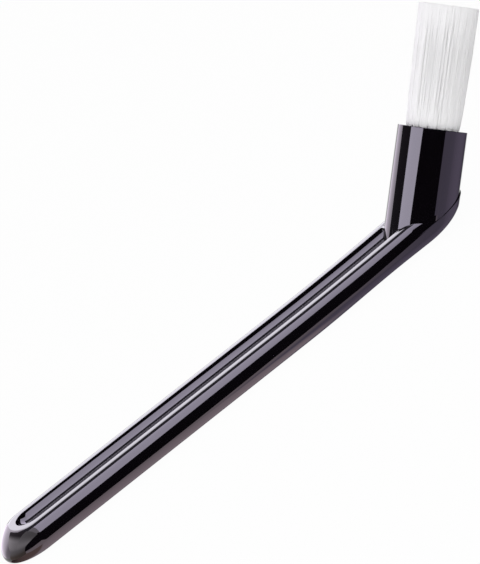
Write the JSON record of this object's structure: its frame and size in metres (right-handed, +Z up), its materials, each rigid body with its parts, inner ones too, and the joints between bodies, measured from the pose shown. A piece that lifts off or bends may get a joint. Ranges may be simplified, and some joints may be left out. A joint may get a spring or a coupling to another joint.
{
  "type": "coffee machine cleaning brush",
  "caption": "Glossy black one-piece brush handle: a flat round-edged bar with a grip trough, bent up into a round head of white nylon tufts, for brushing out a coffee machine's group head.",
  "frame": {"origin": "On the flat underside of the bar, on its centre line, midway between the start of the nose and the start of the lift to the heel.", "axes": "+Z is up, out of the troughed top of the bar. +X runs along the bar from the nose to the head. +Y is across the bar."},
  "size_m": [0.2352, 0.0236, 0.0669],
  "materials": {
    "handle_plastic": "glossy black moulded plastic with a faint violet cast",
    "bristle_nylon": "white translucent nylon filament, cut square",
    "anchor_metal": "plain rolled strip"
  },
  "bodies": {
    "root": {"handle": "handle_plastic", "bristles_centre": "bristle_nylon", "bristles_inner": "bristle_nylon", "bristles_middle": "bristle_nylon", "bristles_outer": "bristle_nylon", "tuft_anchor_01": "anchor_metal", "tuft_anchor_02": "anchor_metal", "tuft_anchor_03": "anchor_metal", "tuft_anchor_04": "anchor_metal", "tuft_anchor_05": "anchor_metal", "tuft_anchor_06": "anchor_metal", "tuft_anchor_07": "anchor_metal", "tuft_anchor_08": "anchor_metal", "tuft_anchor_09": "anchor_metal", "tuft_anchor_10": "anchor_metal", "tuft_anchor_11": "anchor_metal", "tuft_anchor_12": "anchor_metal", "tuft_anchor_13": "anchor_metal", "tuft_anchor_14": "anchor_metal", "tuft_anchor_15": "anchor_metal", "tuft_anchor_16": "anchor_metal", "tuft_anchor_17": "anchor_metal", "tuft_anchor_18": "anchor_metal", "tuft_anchor_19": "anchor_metal", "tuft_anchor_20": "anchor_metal", "tuft_anchor_21": "anchor_metal", "tuft_anchor_22": "anchor_metal", "tuft_anchor_23": "anchor_metal", "tuft_anchor_24": "anchor_metal", "tuft_anchor_25": "anchor_metal", "tuft_anchor_26": "anchor_metal", "tuft_anchor_27": "anchor_metal", "tuft_anchor_28": "anchor_metal", "tuft_anchor_29": "anchor_metal", "tuft_anchor_30": "anchor_metal", "tuft_anchor_31": "anchor_metal", "tuft_anchor_32": "anchor_metal", "tuft_anchor_33": "anchor_metal", "tuft_anchor_34": "anchor_metal", "tuft_anchor_35": "anchor_metal", "tuft_anchor_36": "anchor_metal", "tuft_anchor_37": "anchor_metal"}
  },
  "joints": []
}
